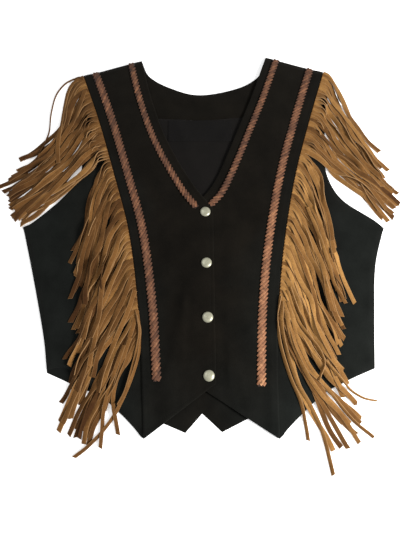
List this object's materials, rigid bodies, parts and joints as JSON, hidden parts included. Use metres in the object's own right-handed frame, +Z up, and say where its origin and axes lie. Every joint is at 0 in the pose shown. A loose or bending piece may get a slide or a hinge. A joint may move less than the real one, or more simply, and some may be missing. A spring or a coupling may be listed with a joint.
{
  "type": "western vest laid flat",
  "caption": "Fringed suede western vest laid flat on its back, with a V neck, a pointed hem, laced braid trims and a snap front.",
  "frame": {"origin": "on the surface that the vest lies on, under the middle of the chest, in the back panel's flat underside", "axes": "+Z up from the surface, +Y towards the neck, +X towards the viewer's right"},
  "size_m": [0.5978, 0.6387, 0.016],
  "materials": {
    "suede_black": "napped black suede",
    "lining_black": "plain woven lining",
    "label_black": "satin woven label, bare",
    "suede_tan": "tan suede strands",
    "braid_brown": "laced reddish brown braid",
    "snap_metal": "matt nickel caps"
  },
  "bodies": {
    "root": {"back": "suede_black", "back_neck_facing": "suede_black", "back_lining": "lining_black", "neck_label": "label_black", "front_left_center": "suede_black", "front_left_side": "suede_black", "front_right_center": "suede_black", "front_right_side": "suede_black", "trim_yoke_left": "braid_brown", "trim_yoke_right": "braid_brown", "trim_neck_left": "braid_brown", "trim_neck_right": "braid_brown", "fringe_left": "suede_tan", "fringe_right": "suede_tan", "snap_1": "snap_metal", "snap_2": "snap_metal", "snap_3": "snap_metal", "snap_4": "snap_metal"}
  },
  "joints": []
}
